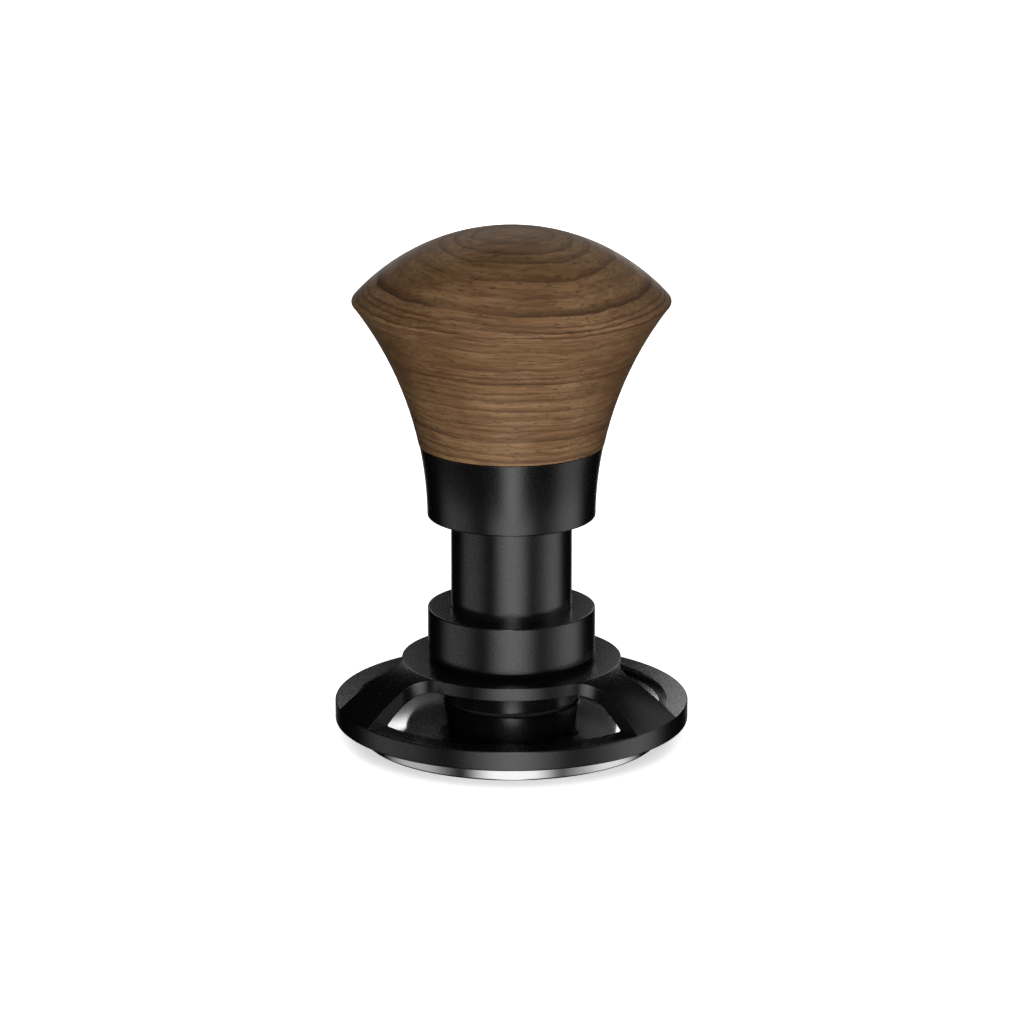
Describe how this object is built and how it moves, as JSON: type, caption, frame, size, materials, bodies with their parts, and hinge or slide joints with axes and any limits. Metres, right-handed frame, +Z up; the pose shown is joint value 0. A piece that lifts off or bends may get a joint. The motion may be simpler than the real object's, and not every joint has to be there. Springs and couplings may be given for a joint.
{
  "type": "espresso tamper",
  "caption": "Hand tamper with a flared wooden knob, spring-loaded handle, self-levelling windowed plate and a flat polished tamping base.",
  "frame": {"origin": "centre of the flat tamping face, which is the underside the tamper stands on", "axes": "+Z up along the turned axis, from the tamping face to the top of the knob; the window between two spokes of the levelling plate faces -Y"},
  "size_m": [0.0688, 0.0688, 0.1007],
  "materials": {
    "polished_steel": "mirror-polished stainless steel",
    "black_anodised": "bead-blasted and black anodised, matte",
    "walnut": "oiled walnut, satin",
    "turned_steel": "turned, bright",
    "black_oxide_steel": "black oxide",
    "spring_steel": "drawn spring wire",
    "plain_aluminium": "turned, bare",
    "bronze": "turned bearing bronze",
    "white_acetal": "turned acetal",
    "black_fibre": "pressed fibre, matte",
    "black_rubber": "moulded silicone rubber"
  },
  "bodies": {
    "base": {"tamping_base": "polished_steel", "base_seal": "black_rubber", "base_neck": "black_anodised", "central_shaft": "turned_steel", "flange_ring": "white_acetal", "lower_spring_seat": "turned_steel", "rebound_washer": "black_rubber", "retaining_washer": "turned_steel", "retaining_screw": "black_oxide_steel", "main_spring": "spring_steel", "return_spring": "spring_steel"},
    "spring_carrier": {"thrust_washer": "turned_steel"},
    "leveller": {"levelling_plate": "black_anodised", "plate_screws": "black_oxide_steel", "guide_cup": "black_anodised", "guide_tube": "black_anodised", "shaft_bush": "white_acetal"},
    "handle": {"handle_collar": "black_anodised", "collar_bush": "white_acetal", "joint_ring": "black_fibre", "handle_insert": "plain_aluminium", "wooden_knob": "walnut", "spring_plug": "plain_aluminium", "plug_bush": "bronze"}
  },
  "joints": [
    {"name": "leveller_slide", "type": "slide", "parent": "base", "child": "spring_carrier", "axis": [0, 0, 1], "range_m": [0, 0.01], "stiffness_N_per_m": 630, "springref_m": -0.01, "deforming": ["return_spring"]},
    {"name": "leveller_spin", "type": "hinge", "parent": "spring_carrier", "child": "leveller", "pos_m": [0, 0, 0.0193], "axis": [0, 0, 1], "continuous": true},
    {"name": "handle_press", "type": "slide", "parent": "base", "child": "handle", "axis": [0, 0, -1], "range_m": [0, 0.008], "stiffness_N_per_m": 5400, "springref_m": -0.0167, "deforming": ["main_spring"]}
  ]
}
